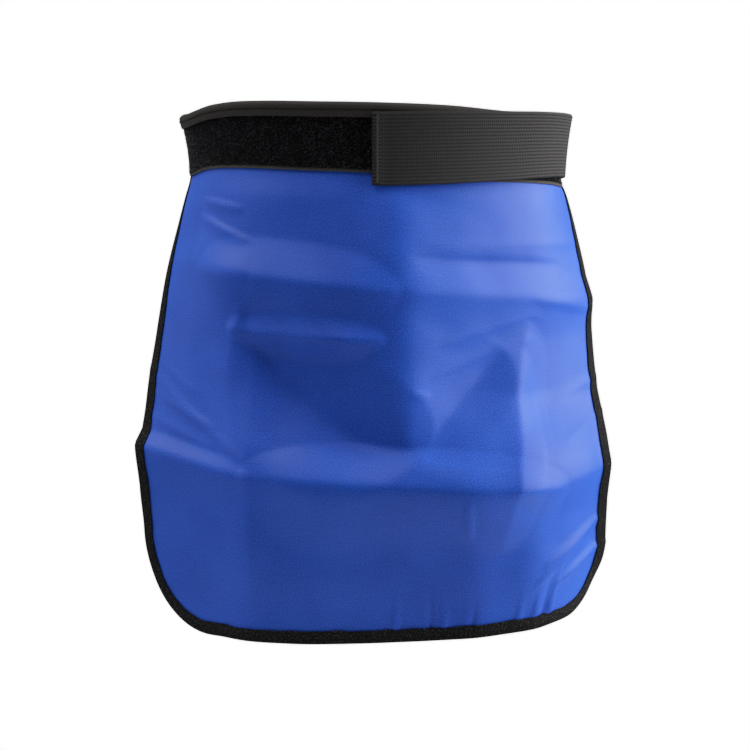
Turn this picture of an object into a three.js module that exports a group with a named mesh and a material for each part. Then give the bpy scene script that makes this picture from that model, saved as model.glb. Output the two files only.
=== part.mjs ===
// A gonad apron as worn: a sheet of lead rubber in blue nylon that hangs from a strap round the waist.
// Millimetres, +Z up. The front faces -Y, and the origin is the middle of the waist, halfway up the band.
import * as THREE from 'three';

const { clamp, degToRad, lerp, smoothstep } = THREE.MathUtils;

// Driving dimensions
const panel = { width: 374, height: 360, thickness: 2.4, leftCorner: 63, rightCorner: 50 };
const loopTape = { width: 45, thickness: 1.6 };
const binding = { flap: 8, thickness: 1, rounding: 0.8 };
const strap = { thickness: 1.6, freeEnd: -2, sewnOverlap: 36, edgeClearance: 12 };
const strapHem = { length: 7, thickening: 0.7 };
const hookPatch = { width: 24, length: 110, thickness: 1, topClearance: 2 };
const gap = 0.4;

// The waist is an oval of four arcs, which flares a little towards the top of the band.
const waist = { halfWidth: 132, halfDepth: 100, frontTurn: degToRad(40) };
const flare = { left: 6, right: 4.4, curve: 1.8 };
const bandTop = 21.9;

// Sections of the hanging sheet: how far down, how far its middle stands out from the waist,
// how much of the waist's curve is unrolled into the hem's on either side of the middle,
// and how much lower its +X side hangs.
const sections = [
  { down: 0, out: 0, left: 0, right: 0, drop: 2.5 },
  { down: 38, out: 0, left: 0, right: 0, drop: 5 },
  { down: 48, out: 1.5, left: 0.02, right: 0.12, drop: 5.5 },
  { down: 60, out: 4.7, left: 0.1, right: 0.2, drop: 5.5 },
  { down: 80, out: 8.4, left: 0.22, right: 0.31, drop: 5.5 },
  { down: 115, out: 12.8, left: 0.43, right: 0.49, drop: 5.5 },
  { down: 170, out: 14.5, left: 0.7, right: 0.63, drop: 4.5 },
  { down: 210, out: 20, left: 0.9, right: 0.77, drop: 3 },
  { down: 245, out: 25, left: 1.08, right: 0.97, drop: 1 },
  { down: 300, out: 19.5, left: 1, right: 1, drop: -3 },
  { down: 360, out: 10, left: 1, right: 1, drop: -9.6 },
];
const middleBlend = 30;

// How much higher the sheet's top edge rides than a level one, which fades out below the band
const bandLift = [
  { across: -187, lift: -1.6 },
  { across: -172, lift: -3.2 },
  { across: -150, lift: -3.7 },
  { across: -136, lift: -2.2 },
  { across: -120, lift: 0.4 },
  { across: -100, lift: 1.9 },
  { across: -75, lift: 1.8 },
  { across: -40, lift: 0.9 },
  { across: 0, lift: 0.5 },
  { across: 50, lift: -0.2 },
  { across: 90, lift: -1.9 },
  { across: 120, lift: -1.3 },
  { across: 150, lift: -0.8 },
  { across: 187, lift: -1.6 },
];
const liftLean = 0.25;
const liftFade = 130;

// How much the hem bows up towards the sides, which fades out upwards
const hemBow = { rise: 5, from: 230 };

// Upright bends of the unrolled sheet, from its -X side to its +X side, above its main crease and below it
const upperTurns = {
  startTurn: degToRad(-36),
  bends: [
    { across: -88, spread: 30, turn: degToRad(22) },
    { across: 14, spread: 16, turn: degToRad(40) },
    { across: 113, spread: 22, turn: degToRad(5) },
  ],
};
const lowerTurns = {
  startTurn: degToRad(-38),
  bends: [
    { across: -90, spread: 18, turn: degToRad(20) },
    { across: -50, spread: 14, turn: degToRad(10) },
    { across: 0, spread: 60, turn: degToRad(5) },
    { across: 68, spread: 14, turn: degToRad(17) },
    { across: 110, spread: 16, turn: degToRad(26) },
    { across: 146, spread: 28, turn: degToRad(18) },
    { across: 177, spread: 9, turn: degToRad(-26) },
  ],
};
const bendsChange = { from: 188, to: 240 };

// Creases from storage: the two ends of the crest on the sheet, how far its middle sags below the line
// between them, how high it stands (a valley's is negative), how far its slopes reach on either side,
// and how hollow they are.
const crestRounding = 0.08;
const softFoot = 1.6;
const leastTaper = 0.02;
const creases = [
  { from: [12, 58], to: [24, 230], sag: 0, height: 7, above: 80, below: 85, hollow: 1.6 },
  { from: [113, 140], to: [90, 262], sag: 0, height: 3.6, above: 26, below: 30, hollow: 1.3 },
  { from: [106, 158], to: [84, 300], sag: 0, height: 4.6, above: 20, below: 66, hollow: 1.15 },
  { from: [-89, 150], to: [-87, 330], sag: 0, height: 2, above: 20, below: 24, hollow: 1.3 },
  { from: [-125, 64], to: [12, 62], sag: 0, height: 0.8, above: 18, below: 26, hollow: 1.6 },
  { from: [-134, 112], to: [16, 123], sag: 0, height: 8.4, above: 25, below: 40, hollow: 1.2 },
  { from: [-176, 107], to: [-84, 112], sag: 0, height: 3.2, above: 26, below: 60, hollow: 1.4 },
  { from: [-108, 151], to: [8, 154], sag: 2, height: 8.6, above: 15, below: 18, hollow: 1.3 },
  { from: [-93, 137], to: [33, 229], sag: 25, height: -12.5, above: 50, below: 46, hollow: 1.1 },
  { from: [-215, 231], to: [-82, 249], sag: 0, height: 6.5, above: 10, below: 30, hollow: 1.2 },
  { from: [-95, 247], to: [134, 254], sag: 0, height: 11.4, above: 23, below: 54, hollow: 1.05 },
  { from: [90, 254], to: [225, 238], sag: 0, height: 5.4, above: 50, below: 30, hollow: 1.25 },
  { from: [20, 99], to: [150, 100], sag: 1, height: -1.7, above: 6, below: 20, hollow: 1.3 },
  { from: [6, 121], to: [212, 126], sag: 1, height: 4.8, above: 20, below: 28, hollow: 1.2 },
  { from: [94, 162], to: [30, 232], sag: 2, height: -4, above: 26, below: 40, hollow: 1.2 },
  { from: [18, 228], to: [112, 239], sag: 1, height: -2.4, above: 40, below: 12, hollow: 1.2 },
];

// Sizes that follow from those
const halfPanel = panel.width / 2;
const nose = gap + binding.thickness;
const arcDifference =
  (waist.halfWidth - waist.halfDepth) / (Math.sin(waist.frontTurn) + Math.cos(waist.frontTurn) - 1);
const sideRadius = waist.halfWidth - arcDifference * Math.sin(waist.frontTurn);
const frontRadius = sideRadius + arcDifference;
const frontLength = frontRadius * waist.frontTurn;
const sideLength = sideRadius * (Math.PI - 2 * waist.frontTurn);
const waistLength = 4 * frontLength + 2 * sideLength;

// Layers, as distances outwards from the middle of the panel's wall
const panelFace = panel.thickness / 2;
const edgeFlap = panelFace + gap;
const edgeFlapFace = edgeFlap + binding.thickness;
const tapeBack = panelFace + gap;
const tapeFace = tapeBack + loopTape.thickness;
const topFlap = tapeFace + gap;
const topBackFlap = -(edgeFlapFace + gap);
const hookFace = topFlap + hookPatch.thickness;
const strapOverHook = hookFace + gap;
const strapBehindPanel = topBackFlap - binding.thickness - gap - strap.thickness;

// The strap's course from its free end, round the +X side and the back, to its sewn end:
// how far along the waist, how far down its middle lies, and its width.
const sewnEnd = waistLength - halfPanel + strap.sewnOverlap;
const course = [
  { along: strap.freeEnd, down: 28, width: 49 },
  { along: 40, down: 26.2, width: 48 },
  { along: 90, down: 22.8, width: 45.6 },
  { along: 150, down: 18.2, width: 42.4 },
  { along: 185, down: 17.6, width: 42 },
  { along: waistLength / 2, down: 23, width: 45 },
  { along: sewnEnd, down: 27.5, width: 45 },
];

// How finely the walls are divided
const divisions = { columns: 38, tapeRows: 4, sideRows: 23, cornerRows: 12, strapRows: 60, strapColumns: 3 };
const patchDivisions = { rows: 14, columns: 2 };
const walkStep = 3;
const normalReach = 0.5;

function spaced(from, to, count) {
  return Array.from({ length: count + 1 }, (_, i) => lerp(from, to, i / count));
}

// A smooth curve through one column of a table
function curve(rows, key, name) {
  const places = rows.map((row) => row[key]);
  const spline = new THREE.CubicInterpolant(places, rows.map((row) => row[name]), 1);
  return (at) => spline.evaluate(clamp(at, places[0], places.at(-1)))[0];
}

const outAt = curve(sections, 'down', 'out');
const leftAt = curve(sections, 'down', 'left');
const rightAt = curve(sections, 'down', 'right');
const dropAt = curve(sections, 'down', 'drop');
const liftAt = curve(bandLift, 'across', 'lift');
const courseAt = curve(course, 'along', 'down');
const widthAt = curve(course, 'along', 'width');

// The direction of the waist oval at a distance along it from the middle of the front
function waistTurn(along) {
  if (along > waistLength / 2) return 2 * Math.PI + waistTurn(along - waistLength);
  const way = Math.abs(along);
  const pastFront = Math.max(0, way - frontLength);
  const pastSide = Math.max(0, pastFront - sideLength);
  const turn = (way - pastFront) / frontRadius + (pastFront - pastSide) / sideRadius + pastSide / frontRadius;
  return Math.sign(along) * turn;
}

// The direction of the unrolled sheet after its bends, at a distance across from its middle
function bent(across, { startTurn, bends }) {
  const turned = ({ across: at, spread, turn }) => turn * smoothstep(across, at - spread, at + spread);
  return bends.reduce((total, bend) => total + turned(bend), startTurn);
}

// Walks along a section from the middle of the front, and gives the place reached and the direction there.
function walk(distance, turnAt) {
  const steps = Math.max(1, Math.ceil(Math.abs(distance) / walkStep));
  const step = distance / steps;
  let x = 0;
  let y = -waist.halfDepth;
  for (let i = 0; i < steps; i++) {
    const turn = turnAt((i + 0.5) * step);
    x += Math.cos(turn) * step;
    y += Math.sin(turn) * step;
  }
  return { x, y, turn: turnAt(distance) };
}

function creaseHeight(across, down) {
  let total = 0;
  for (const { from, to, sag, height, above, below, hollow } of creases) {
    const line = new THREE.Vector2(to[0] - from[0], to[1] - from[1]);
    const place = new THREE.Vector2(across - from[0], down - from[1]);
    const share = clamp(place.dot(line) / line.lengthSq(), 0, 1);
    const taper = 1 - Math.abs(2 * share - 1) ** 3;
    const under = line.cross(place) / line.length() - sag * taper;
    const reach = (under < 0 ? above : below) * Math.sqrt(Math.max(taper, leastTaper));
    const away = Math.hypot(under / reach, crestRounding) - crestRounding;
    const foot = under < 0 ? hollow : Math.max(hollow, softFoot);
    total += height * taper * Math.max(0, 1 - away) ** foot;
  }
  return total;
}

function flareAt(along, down) {
  const rightness = (1 + Math.sin(waistTurn(along))) / 2;
  const most = lerp(flare.left, flare.right, rightness);
  return most * Math.max(0, 1 - down / loopTape.width) ** flare.curve;
}

function heightAt(along, down) {
  return bandTop - down - Math.sin(waistTurn(along)) * dropAt(down);
}

// A place on the waist oval
function bandMiddle(along, down) {
  const { x, y, turn } = walk(along, waistTurn);
  const away = flareAt(along, down);
  return new THREE.Vector3(x + Math.sin(turn) * away, y - Math.cos(turn) * away, heightAt(along, down));
}

// A place on the middle of the panel's wall
function sheetMiddle(across, down) {
  const unrolled = (at) => lerp(leftAt(down), rightAt(down), smoothstep(at, -middleBlend, middleBlend));
  const lower = smoothstep(down, bendsChange.from, bendsChange.to);
  const hung = (at) => lerp(bent(at, upperTurns), bent(at, lowerTurns), lower);
  const { x, y, turn } = walk(across, (at) => lerp(waistTurn(at), hung(at), unrolled(at)));
  const away = flareAt(across, down) + creaseHeight(across, down);
  const front = y - outAt(down);
  const lift = liftAt(across + liftLean * down) * (1 - smoothstep(down, loopTape.width, liftFade));
  const bow = hemBow.rise * (across / halfPanel) ** 2 * smoothstep(down, hemBow.from, panel.height);
  const height = heightAt(across, down) + lift + bow;
  return new THREE.Vector3(x + Math.sin(turn) * away, front - Math.cos(turn) * away, height);
}

// A place at a distance outwards from a surface
function offset(surface, across, down, outwards) {
  const rightwards = surface(across + normalReach, down).sub(surface(across - normalReach, down));
  const downwards = surface(across, down + normalReach).sub(surface(across, down - normalReach));
  const outward = downwards.cross(rightwards).normalize();
  return surface(across, down).addScaledVector(outward, outwards);
}

function onSheet(across, down, outwards) {
  return offset(sheetMiddle, across, down, outwards);
}

function onBand(along, down, outwards) {
  return offset(bandMiddle, along, down, outwards);
}

// A closed wall from rows of pairs: each pair is a place on its outer face and the place behind it.
function wall(rows) {
  const lastRow = rows.length - 1;
  const lastColumn = rows[0].length - 1;
  const outer = (row, column) => 2 * (row * rows[0].length + column);
  const inner = (row, column) => outer(row, column) + 1;
  const index = [];
  const quad = (a, b, c, d) => index.push(a, b, c, a, c, d);
  for (let r = 0; r < lastRow; r++) {
    for (let c = 0; c < lastColumn; c++) {
      quad(outer(r, c), outer(r + 1, c), outer(r + 1, c + 1), outer(r, c + 1));
      quad(inner(r, c), inner(r, c + 1), inner(r + 1, c + 1), inner(r + 1, c));
    }
    quad(outer(r, 0), inner(r, 0), inner(r + 1, 0), outer(r + 1, 0));
    quad(outer(r, lastColumn), outer(r + 1, lastColumn), inner(r + 1, lastColumn), inner(r, lastColumn));
  }
  for (let c = 0; c < lastColumn; c++) {
    quad(outer(0, c), outer(0, c + 1), inner(0, c + 1), inner(0, c));
    quad(outer(lastRow, c), inner(lastRow, c), inner(lastRow, c + 1), outer(lastRow, c + 1));
  }
  const geometry = new THREE.BufferGeometry();
  geometry.setFromPoints(rows.flat(2));
  geometry.setIndex(index);
  geometry.computeVertexNormals();
  return geometry;
}

// The panel's cut edge: how far across it lies at a distance down, and the way in from it there
function edgeStation(side, down) {
  const radius = side < 0 ? panel.leftCorner : panel.rightCorner;
  const turn = Math.asin(clamp((down - panel.height + radius) / radius, 0, 1));
  return {
    across: side * (halfPanel - radius + radius * Math.cos(turn)),
    down,
    inAcross: -side * Math.cos(turn),
    inDown: -Math.sin(turn),
  };
}

// Distances down the panel: behind the loop tape, below it, and closer together round the lower corners
const cornerStart = panel.height - panel.leftCorner;
const cornerTurns = spaced(0, Math.PI / 2, divisions.cornerRows).slice(1);
const tapeRows = spaced(0, loopTape.width, divisions.tapeRows);
const sideRows = spaced(loopTape.width, cornerStart, divisions.sideRows).slice(1);
const cornerRows = cornerTurns.map((turn) => cornerStart + panel.leftCorner * Math.sin(turn));
const panelRows = [...tapeRows, ...sideRows, ...cornerRows];

function frontPanel() {
  return wall(
    panelRows.map((down) =>
      spaced(edgeStation(-1, down).across, edgeStation(1, down).across, divisions.columns).map((across) => [
        onSheet(across, down, panelFace),
        onSheet(across, down, -panelFace),
      ]),
    ),
  );
}

function loopTapeWall() {
  const half = halfPanel - binding.flap - gap;
  return wall(
    tapeRows.map((down) =>
      spaced(-half, half, divisions.columns).map((across) => [
        onSheet(across, down, tapeFace),
        onSheet(across, down, tapeBack),
      ]),
    ),
  );
}

// A tape folded round the panel's edge: each station is a place on that edge and the way in from it.
// Its section runs from the back flap round to the front flap, in pairs of outer and inner places,
// each so far in from the edge and so far outwards.
function foldedTape(stations, front, back) {
  const outerFront = front + binding.thickness;
  const outerBack = back - binding.thickness;
  const round = binding.rounding;
  const section = [
    [[binding.flap, outerBack], [binding.flap, back]],
    [[round - nose, outerBack], [-gap / 2, back]],
    [[-nose, outerBack + round], [-gap, back + gap / 2]],
    [[-nose, outerFront - round], [-gap, front - gap / 2]],
    [[round - nose, outerFront], [-gap / 2, front]],
    [[binding.flap, outerFront], [binding.flap, front]],
  ];
  const placed = ({ across, down, inAcross, inDown }, [inwards, outwards]) =>
    onSheet(across + inwards * inAcross, down + inwards * inDown, outwards);
  return wall(stations.map((station) => section.map((pair) => pair.map((at) => placed(station, at)))));
}

// Down the -X side, along the hem and up the +X side
function edgeBinding() {
  const left = panelRows.map((down) => edgeStation(-1, down));
  const right = panelRows.map((down) => edgeStation(1, down)).reverse();
  const hem = spaced(left.at(-1).across, right[0].across, divisions.columns).slice(1, -1);
  const hemStations = hem.map((across) => ({ across, down: panel.height, inAcross: 0, inDown: -1 }));
  return foldedTape([...left, ...hemStations, ...right], edgeFlap, -edgeFlap);
}

function topBinding() {
  const half = halfPanel + nose;
  const places = spaced(half, -half, divisions.columns);
  const stations = places.map((across) => ({ across, down: 0, inAcross: 0, inDown: 1 }));
  return foldedTape(stations, topFlap, topBackFlap);
}

// The strap leaves the panel's front at its +X side and comes in behind its -X side.
function strapLayer(along) {
  const clear = halfPanel + strap.edgeClearance;
  const share = smoothstep(along, clear, waistLength - clear);
  return lerp(strapOverHook, strapBehindPanel, share);
}

function waistStrap() {
  const hemEnd = strap.freeEnd + strapHem.length;
  const plain = spaced(hemEnd + strapHem.thickening, sewnEnd, divisions.strapRows);
  return wall(
    [strap.freeEnd, hemEnd, ...plain].map((along) => {
      const middle = courseAt(along);
      const half = widthAt(along) / 2;
      const layer = strapLayer(along);
      const face = layer + strap.thickness + (along > hemEnd ? 0 : strapHem.thickening);
      return spaced(middle + half, middle - half, divisions.strapColumns).map((down) => [
        onBand(along, down, face),
        onBand(along, down, layer),
      ]);
    }),
  );
}

function hookPatchWall() {
  const start = strap.freeEnd + strapHem.length;
  const top = binding.flap + hookPatch.topClearance;
  return wall(
    spaced(start, start + hookPatch.length, patchDivisions.rows).map((along) =>
      spaced(top + hookPatch.width, top, patchDivisions.columns).map((down) => [
        onBand(along, down, hookFace),
        onBand(along, down, topFlap),
      ]),
    ),
  );
}

function piece(name, geometry, color, roughness) {
  const mesh = new THREE.Mesh(geometry, new THREE.MeshStandardMaterial({ color, roughness, metalness: 0 }));
  mesh.name = name;
  return mesh;
}

const apron = new THREE.Group();
apron.name = 'gonad_apron';
apron.add(
  piece('front_panel', frontPanel(), 0x2f57b8, 0.45),
  piece('loop_tape', loopTapeWall(), 0x111114, 0.95),
  piece('top_binding', topBinding(), 0x262524, 0.85),
  piece('edge_binding', edgeBinding(), 0x1a1a1b, 0.85),
  piece('waist_strap', waistStrap(), 0x2c2b2d, 0.8),
  piece('hook_patch', hookPatchWall(), 0x141416, 0.9),
);

export default apron;
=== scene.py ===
"""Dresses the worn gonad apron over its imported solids: cloth, tapes, webbing, stitches and a studio.

Every piece is cut and sewn flat, in millimetres, and then laid on the worn form, in metres.
Flat, X runs across from the middle of the front, Y runs up from the panel's top edge, and Z outwards.
"""

import math

import bpy
import numpy as np
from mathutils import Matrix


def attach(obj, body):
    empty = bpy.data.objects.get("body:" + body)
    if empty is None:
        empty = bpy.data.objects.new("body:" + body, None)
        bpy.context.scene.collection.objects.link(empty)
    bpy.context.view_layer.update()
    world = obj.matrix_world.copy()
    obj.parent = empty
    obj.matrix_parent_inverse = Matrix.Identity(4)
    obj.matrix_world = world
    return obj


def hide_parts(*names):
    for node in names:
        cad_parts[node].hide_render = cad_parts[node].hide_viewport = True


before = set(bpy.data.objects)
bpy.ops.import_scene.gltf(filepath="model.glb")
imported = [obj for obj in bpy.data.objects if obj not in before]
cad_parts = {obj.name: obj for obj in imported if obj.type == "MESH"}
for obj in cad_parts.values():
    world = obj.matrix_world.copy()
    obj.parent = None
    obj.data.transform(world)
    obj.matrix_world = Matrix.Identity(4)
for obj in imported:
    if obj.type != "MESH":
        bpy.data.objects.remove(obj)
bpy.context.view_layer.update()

MM = 0.001
BODY = "root"

# The sheet and its tapes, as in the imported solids
PANEL_WIDTH = 374.0
PANEL_HEIGHT = 360.0
PANEL_THICKNESS = 2.4
LEFT_CORNER = 63.0
RIGHT_CORNER = 50.0
TAPE_WIDTH = 45.0
FLAP = 8.0
GAP = 0.4
STRAP_THICKNESS = 1.6
STRAP_FREE_END = -2.0
STRAP_SEWN_OVERLAP = 36.0
STRAP_EDGE_CLEARANCE = 12.0
HALF_PANEL = PANEL_WIDTH / 2

# Layers, as distances outwards from the middle of the panel's wall
LOOP_BACK = 1.6
EDGE_FLAP_MIDDLE = 2.1
TOP_FLAP_MIDDLE = 4.1
TOP_BACK_FLAP_MIDDLE = -3.5
HOOK_BACK = 3.6
HOOK_FACE = 4.6
STRAP_OVER_HOOK = 5.0
STRAP_BEHIND_PANEL = -6.0

# The waist is an oval of four arcs, a little wider at the top of the band than at its lower edge.
WAIST_HALF_WIDTH = 132.0
WAIST_HALF_DEPTH = 100.0
FRONT_TURN = math.radians(40)
LEFT_FLARE = 6.0
RIGHT_FLARE = 4.4
FLARE_CURVE = 1.8
BAND_TOP = 21.9
ARC_DIFFERENCE = (WAIST_HALF_WIDTH - WAIST_HALF_DEPTH) / (math.sin(FRONT_TURN) + math.cos(FRONT_TURN) - 1)
SIDE_RADIUS = WAIST_HALF_WIDTH - ARC_DIFFERENCE * math.sin(FRONT_TURN)
FRONT_RADIUS = SIDE_RADIUS + ARC_DIFFERENCE
FRONT_LENGTH = FRONT_RADIUS * FRONT_TURN
SIDE_LENGTH = SIDE_RADIUS * (math.pi - 2 * FRONT_TURN)
WAIST_LENGTH = 4 * FRONT_LENGTH + 2 * SIDE_LENGTH
STRAP_SEWN_END = WAIST_LENGTH - HALF_PANEL + STRAP_SEWN_OVERLAP

# Sections of the hanging sheet: how far down, how far its middle stands out from the waist,
# how much of the waist's curve is unrolled on either side of the middle, and how much lower +X hangs.
SECTIONS = np.array([
    # down, out, left, right, drop
    (0, 0, 0, 0, 2.5),
    (38, 0, 0, 0, 5),
    (48, 1.5, 0.02, 0.12, 5.5),
    (60, 4.7, 0.1, 0.2, 5.5),
    (80, 8.4, 0.22, 0.31, 5.5),
    (115, 12.8, 0.43, 0.49, 5.5),
    (170, 14.5, 0.7, 0.63, 4.5),
    (210, 20, 0.9, 0.77, 3),
    (245, 25, 1.08, 0.97, 1),
    (300, 19.5, 1, 1, -3),
    (360, 10, 1, 1, -9.6),
])
MIDDLE_BLEND = 30.0

# How much higher the sheet's top edge rides than a level one, which fades out below the band
BAND_LIFT = np.array([
    # across, lift
    (-187, -1.6),
    (-172, -3.2),
    (-150, -3.7),
    (-136, -2.2),
    (-120, 0.4),
    (-100, 1.9),
    (-75, 1.8),
    (-40, 0.9),
    (0, 0.5),
    (50, -0.2),
    (90, -1.9),
    (120, -1.3),
    (150, -0.8),
    (187, -1.6),
])
LIFT_LEAN = 0.25
LIFT_FADE = 130.0

# How much the hem bows up towards the sides, which fades out upwards
HEM_BOW = 5.0
HEM_BOW_FROM = 230.0

# Upright bends of the unrolled sheet, from its -X side to its +X side: above the main crease and below it
UPPER_START_TURN = math.radians(-36)
UPPER_BENDS = (
    # across, spread, turn in degrees
    (-88, 30, 22),
    (14, 16, 40),
    (113, 22, 5),
)
LOWER_START_TURN = math.radians(-38)
LOWER_BENDS = (
    # across, spread, turn in degrees
    (-90, 18, 20),
    (-50, 14, 10),
    (0, 60, 5),
    (68, 14, 17),
    (110, 16, 26),
    (146, 28, 18),
    (177, 9, -26),
)
BENDS_CHANGE = (188.0, 240.0)

# Creases from storage: the two ends of the crest, how far its middle sags below the line between them,
# how high it stands (a valley's is negative), how far its slopes reach on either side, and how hollow
# they are. Above and below are the sides of a crest that runs towards +X, and the slope below is never
# less hollow than the soft foot.
CREST_ROUNDING = 0.08
SOFT_FOOT = 1.6
TAPER_POWER = 3
LEAST_TAPER = 0.02
CREASES = (
    # from across, from down, to across, to down, sag, height, above, below, hollow
    (12, 58, 24, 230, 0, 7.0, 80, 85, 1.6),
    (113, 140, 90, 262, 0, 3.6, 26, 30, 1.3),
    (106, 158, 84, 300, 0, 4.6, 20, 66, 1.15),
    (-89, 150, -87, 330, 0, 2.0, 20, 24, 1.3),
    (-125, 64, 12, 62, 0, 0.8, 18, 26, 1.6),
    (-134, 112, 16, 123, 0, 8.4, 25, 40, 1.2),
    (-176, 107, -84, 112, 0, 3.2, 26, 60, 1.4),
    (-108, 151, 8, 154, 2, 8.6, 15, 18, 1.3),
    (-93, 137, 33, 229, 25, -12.5, 50, 46, 1.1),
    (-215, 231, -82, 249, 0, 6.5, 10, 30, 1.2),
    (-95, 247, 134, 254, 0, 11.4, 23, 54, 1.05),
    (90, 254, 225, 238, 0, 5.4, 50, 30, 1.25),
    (20, 99, 150, 100, 1, -1.7, 6, 20, 1.3),
    (6, 121, 212, 126, 1, 4.8, 20, 28, 1.2),
    (94, 162, 30, 232, 2, -4.0, 26, 40, 1.2),
    (18, 228, 112, 239, 1, -2.4, 40, 12, 1.2),
)
# Finer wrinkles, in the same columns
WRINKLES = (
    (-140, 50, -147, 112, 0, 1.3, 9, 7, 1.5),
    (-136, 65, -92, 72, 1, 1.5, 3.5, 7, 1.6),
    (-138, 76, -86, 93, 1, 1.9, 4, 9, 1.6),
    (25, 91, 185, 84, 1, 1.0, 20, 10, 2),
    (113, 125, 190, 133, 0, 1.0, 8, 8, 2),
    (42, 159, 125, 136, -2, 1.1, 15, 12, 2),
    (35, 181, 122, 153, -3, 1.1, 15, 12, 2),
    (20, 189, 37, 192, 0, 0.7, 5, 7, 2),
    (-190, 182, -86, 238, 2, 1.3, 6, 9, 1.6),
    (-172, 180, -128, 200, 1, 0.8, 5, 6, 1.6),
    (-182, 197, -111, 220, 2, 0.9, 5, 6, 1.6),
    (-183, 214, -110, 233, 2, 0.9, 6, 6, 1.6),
    (61, 258, 63, 288, 0, 1.3, 4, 4, 1.6),
    (114, 317, 186, 285, -2, 2.4, 8, 10, 1.8),
    (124, 334, 190, 308, -2, 2.2, 7, 9, 1.8),
    (108, 330, 160, 300, -2, 1.6, 6, 8, 1.8),
    (135, 198, 190, 182, 0, 1.1, 8, 9, 1.8),
    (132, 226, 190, 206, 0, 0.9, 7, 9, 1.8),
)
# Puckers that the binding's seam draws up along the hem, and how far above the tape each reaches
PUCKERS = (
    # across, lean, reach, height
    (14, 1, 34, 1.1),
    (38, -2, 40, -1.3),
    (47, 0, 30, 1.0),
    (66, 2, 26, -1.0),
    (98, 4, 26, 1.0),
    (110, 7, 34, 1.3),
    (117, 10, 44, -1.4),
    (123, 14, 52, 1.5),
)
PUCKER_HALF_WIDTH = 3.5
PUCKER_FADE = 1.5
PUCKER_FOOT = (-3, 2)

# The strap's course from its free end, round +X and the back, to its sewn end
COURSE = np.array([
    # along, down, width
    (STRAP_FREE_END, 28, 49),
    (40, 26.2, 48),
    (90, 22.8, 45.6),
    (150, 18.2, 42.4),
    (185, 17.6, 42),
    (WAIST_LENGTH / 2, 23, 45),
    (STRAP_SEWN_END, 27.5, 45),
])

# Columns and rows of the pieces as they are cut
PANEL_GRID = (208, 200)
EDGE_TAPE_GRID = (521, 26)
TOP_TAPE_GRID = (190, 28)
LOOP_GRID = (180, 22)
HOOK_GRID = (56, 16)

# Corners of less than these angles, in degrees, are shaded smooth
CLOTH_SMOOTHING = 50
WEBBING_SMOOTHING = 60
THREAD_SMOOTHING = 80

# Corners of more than this angle are rounded on a tape
TAPE_ROUNDING_ANGLE = 60
ROUNDING_SEGMENTS = 2

OUTWARDS = (0.0, 0.0, 1.0)
NORMAL_REACH = 0.5
WALK_STEP = 3.0
POINTS_AT_ONCE = 20000
rng = np.random.default_rng(7)


def lerp(a, b, share):
    return a + (b - a) * share


def smoothstep(x, low, high):
    share = np.clip((x - low) / (high - low), 0, 1)
    return share * share * (3 - 2 * share)


def curve(table, column):
    """A smooth curve through one column of a table, level at both ends."""
    places = table[:, 0]
    values = table[:, column]
    secants = np.diff(values) / np.diff(places)
    slopes = np.concatenate([[0], (secants[1:] + secants[:-1]) / 2, [0]])

    def at(place):
        place = np.clip(place, places[0], places[-1])
        i = np.clip(np.searchsorted(places, place, side="right") - 1, 0, len(places) - 2)
        span = places[i + 1] - places[i]
        p = (place - places[i]) / span
        rise = p * p * (3 - 2 * p)
        leave = p * (1 - p) ** 2 * span * slopes[i]
        arrive = -p * p * (1 - p) * span * slopes[i + 1]
        return lerp(values[i], values[i + 1], rise) + leave + arrive

    return at


out_at = curve(SECTIONS, 1)
left_at = curve(SECTIONS, 2)
right_at = curve(SECTIONS, 3)
drop_at = curve(SECTIONS, 4)
lift_at = curve(BAND_LIFT, 1)
course_at = curve(COURSE, 1)
width_at = curve(COURSE, 2)


def waist_turn(along):
    """The direction of the waist oval at a distance along it from the middle of the front."""
    lap = np.where(along > WAIST_LENGTH / 2, 1.0, 0.0)
    local = along - lap * WAIST_LENGTH
    way = np.abs(local)
    past_front = np.maximum(0, way - FRONT_LENGTH)
    past_side = np.maximum(0, past_front - SIDE_LENGTH)
    front = (way - past_front + past_side) / FRONT_RADIUS
    side = (past_front - past_side) / SIDE_RADIUS
    return lap * 2 * math.pi + np.sign(local) * (front + side)


def bent(across, start_turn, bends):
    """The direction of the unrolled sheet after its bends, at a distance across from its middle."""
    total = np.full_like(across, start_turn)
    for at, spread, turn in bends:
        total = total + math.radians(turn) * smoothstep(across, at - spread, at + spread)
    return total


def walk(distance, turn_at):
    """Walks along a section from the middle of the front: the place reached and the direction there."""
    count = max(1, math.ceil(np.abs(distance).max() / WALK_STEP))
    shares = (np.arange(count) + 0.5) / count
    turns = turn_at(distance[:, None] * shares)
    x = distance * np.cos(turns).mean(axis=1)
    y = distance * np.sin(turns).mean(axis=1) - WAIST_HALF_DEPTH
    return x, y, turn_at(distance[:, None])[:, 0]


def ridge(across, down, row):
    """The height of one crease or wrinkle above the smooth sheet."""
    from_across, from_down, to_across, to_down, sag, height, above, below, hollow = row
    run = to_across - from_across
    fall = to_down - from_down
    length = math.hypot(run, fall)
    share = np.clip(((across - from_across) * run + (down - from_down) * fall) / length**2, 0, 1)
    taper = 1 - np.abs(2 * share - 1) ** TAPER_POWER
    point = np.sqrt(np.maximum(taper, LEAST_TAPER))
    under = (run * (down - from_down) - fall * (across - from_across)) / length - sag * taper
    reach = np.where(under < 0, above, below) * point
    away = np.hypot(under / reach, CREST_ROUNDING) - CREST_ROUNDING
    foot = np.where(under < 0, hollow, max(hollow, SOFT_FOOT))
    return height * taper * np.maximum(0, 1 - away) ** foot


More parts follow.
